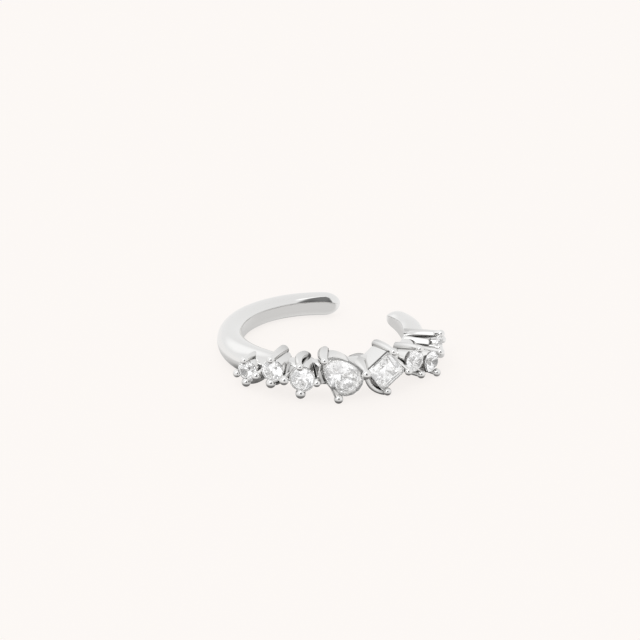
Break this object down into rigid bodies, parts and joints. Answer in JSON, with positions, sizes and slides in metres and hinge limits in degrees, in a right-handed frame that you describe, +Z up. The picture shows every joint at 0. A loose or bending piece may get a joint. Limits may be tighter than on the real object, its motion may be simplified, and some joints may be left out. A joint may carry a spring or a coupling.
{
  "type": "ear cuff",
  "caption": "Open polished silver ear cuff lying on its side, with a flat inner side, rounded tips and a row of clear round, pear and square stones in tall claw settings.",
  "frame": {"origin": "on the table, under the middle of the cuff's bounding box", "axes": "+Z up, out of the hollow that goes round the ear; -Y towards the row of stones; +Y towards the gap between the tips"},
  "size_m": [0.0142, 0.0138, 0.0031],
  "materials": {
    "silver": "polished",
    "clear_stone": "faceted, polished"
  },
  "bodies": {
    "root": {"silver_cuff": "silver", "stone_1_round": "clear_stone", "stone_2_round": "clear_stone", "stone_3_round": "clear_stone", "stone_4_pear": "clear_stone", "stone_5_square": "clear_stone", "stone_6_round": "clear_stone", "stone_7_round": "clear_stone", "stone_8_round": "clear_stone"}
  },
  "joints": []
}
